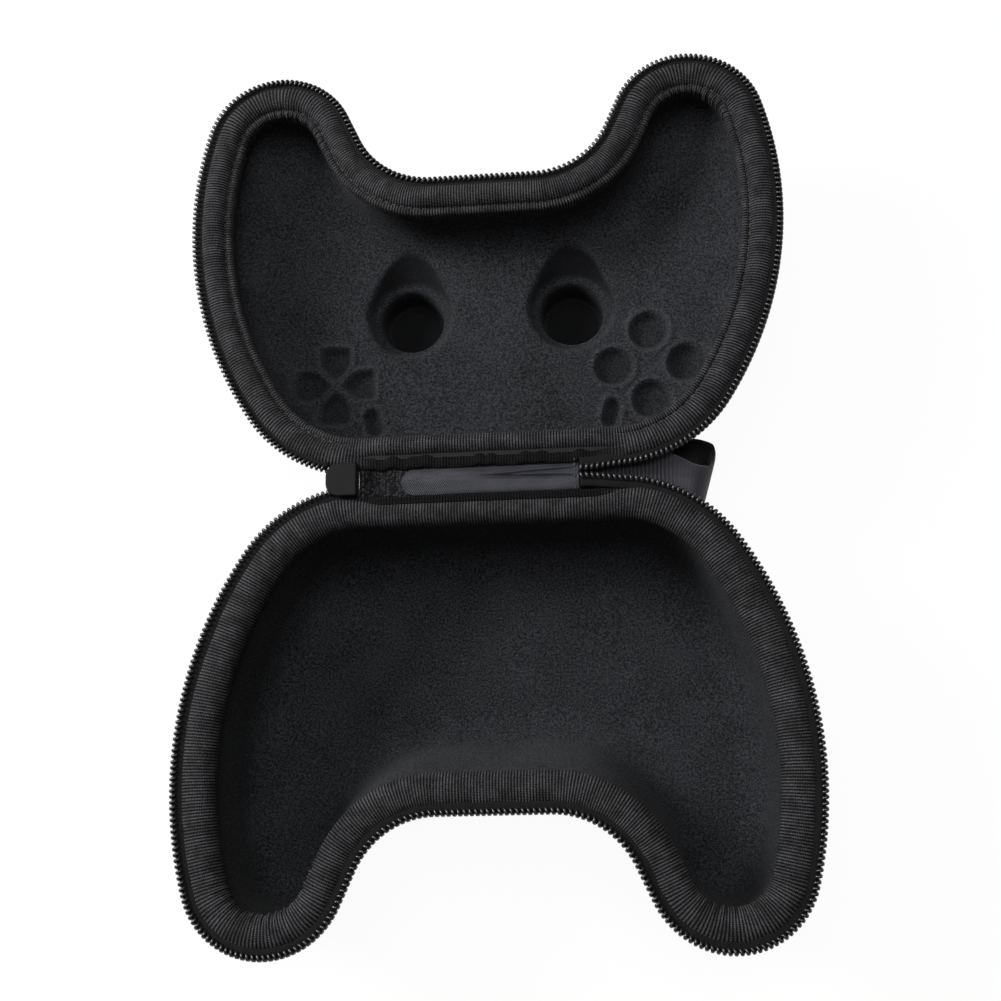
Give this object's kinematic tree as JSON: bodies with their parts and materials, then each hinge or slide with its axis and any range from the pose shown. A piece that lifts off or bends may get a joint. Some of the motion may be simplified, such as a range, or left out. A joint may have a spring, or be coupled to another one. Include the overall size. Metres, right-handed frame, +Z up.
{
  "type": "game controller carrying case",
  "caption": "Hard zip case in the outline of a twin-grip game controller, lying open, with moulded stick and button recesses in its lid.",
  "frame": {"origin": "on the floor, under the middle of the hinge line", "axes": "+X along the hinge line, towards the hand strap; +Y from the base to the lid; +Z up"},
  "size_m": [0.182, 0.2674, 0.0439],
  "materials": {
    "shell_fabric": "woven nylon over moulded foam, matt",
    "fleece_lining": "brushed fleece, matt",
    "elastic_binding": "ribbed elastic, soft sheen",
    "zip_tape": "woven tape, matt",
    "zip_teeth": "nylon coil, satin",
    "knit_gusset": "knit, matt",
    "satin_facing": "satin twill, sheen",
    "slider_paint": "matt paint",
    "strap_webbing": "ribbed webbing, soft sheen"
  },
  "bodies": {
    "base": {"base_shell": "shell_fabric", "base_lining": "fleece_lining", "base_binding": "elastic_binding", "base_zip_tape": "zip_tape", "base_zip_teeth": "zip_teeth", "hinge_gusset": "knit_gusset", "hinge_facing": "satin_facing", "zip_slider": "slider_paint", "hand_strap": "strap_webbing"},
    "lid": {"lid_shell": "shell_fabric", "lid_lining": "fleece_lining", "lid_binding": "elastic_binding", "lid_zip_tape": "zip_tape", "lid_zip_teeth": "zip_teeth"},
    "puller": {"zip_puller": "slider_paint"}
  },
  "joints": [
    {"name": "lid_hinge", "type": "hinge", "parent": "base", "child": "lid", "pos_m": [0, 0, 0.043], "axis": [1, 0, 0], "range_deg": [0, 180], "deforming": ["hinge_gusset", "hinge_facing"]},
    {"name": "puller_swing", "type": "hinge", "parent": "base", "child": "puller", "pos_m": [-0.0428, 0, 0.03723], "axis": [0, 1, 0], "range_deg": [-85, 85]}
  ]
}
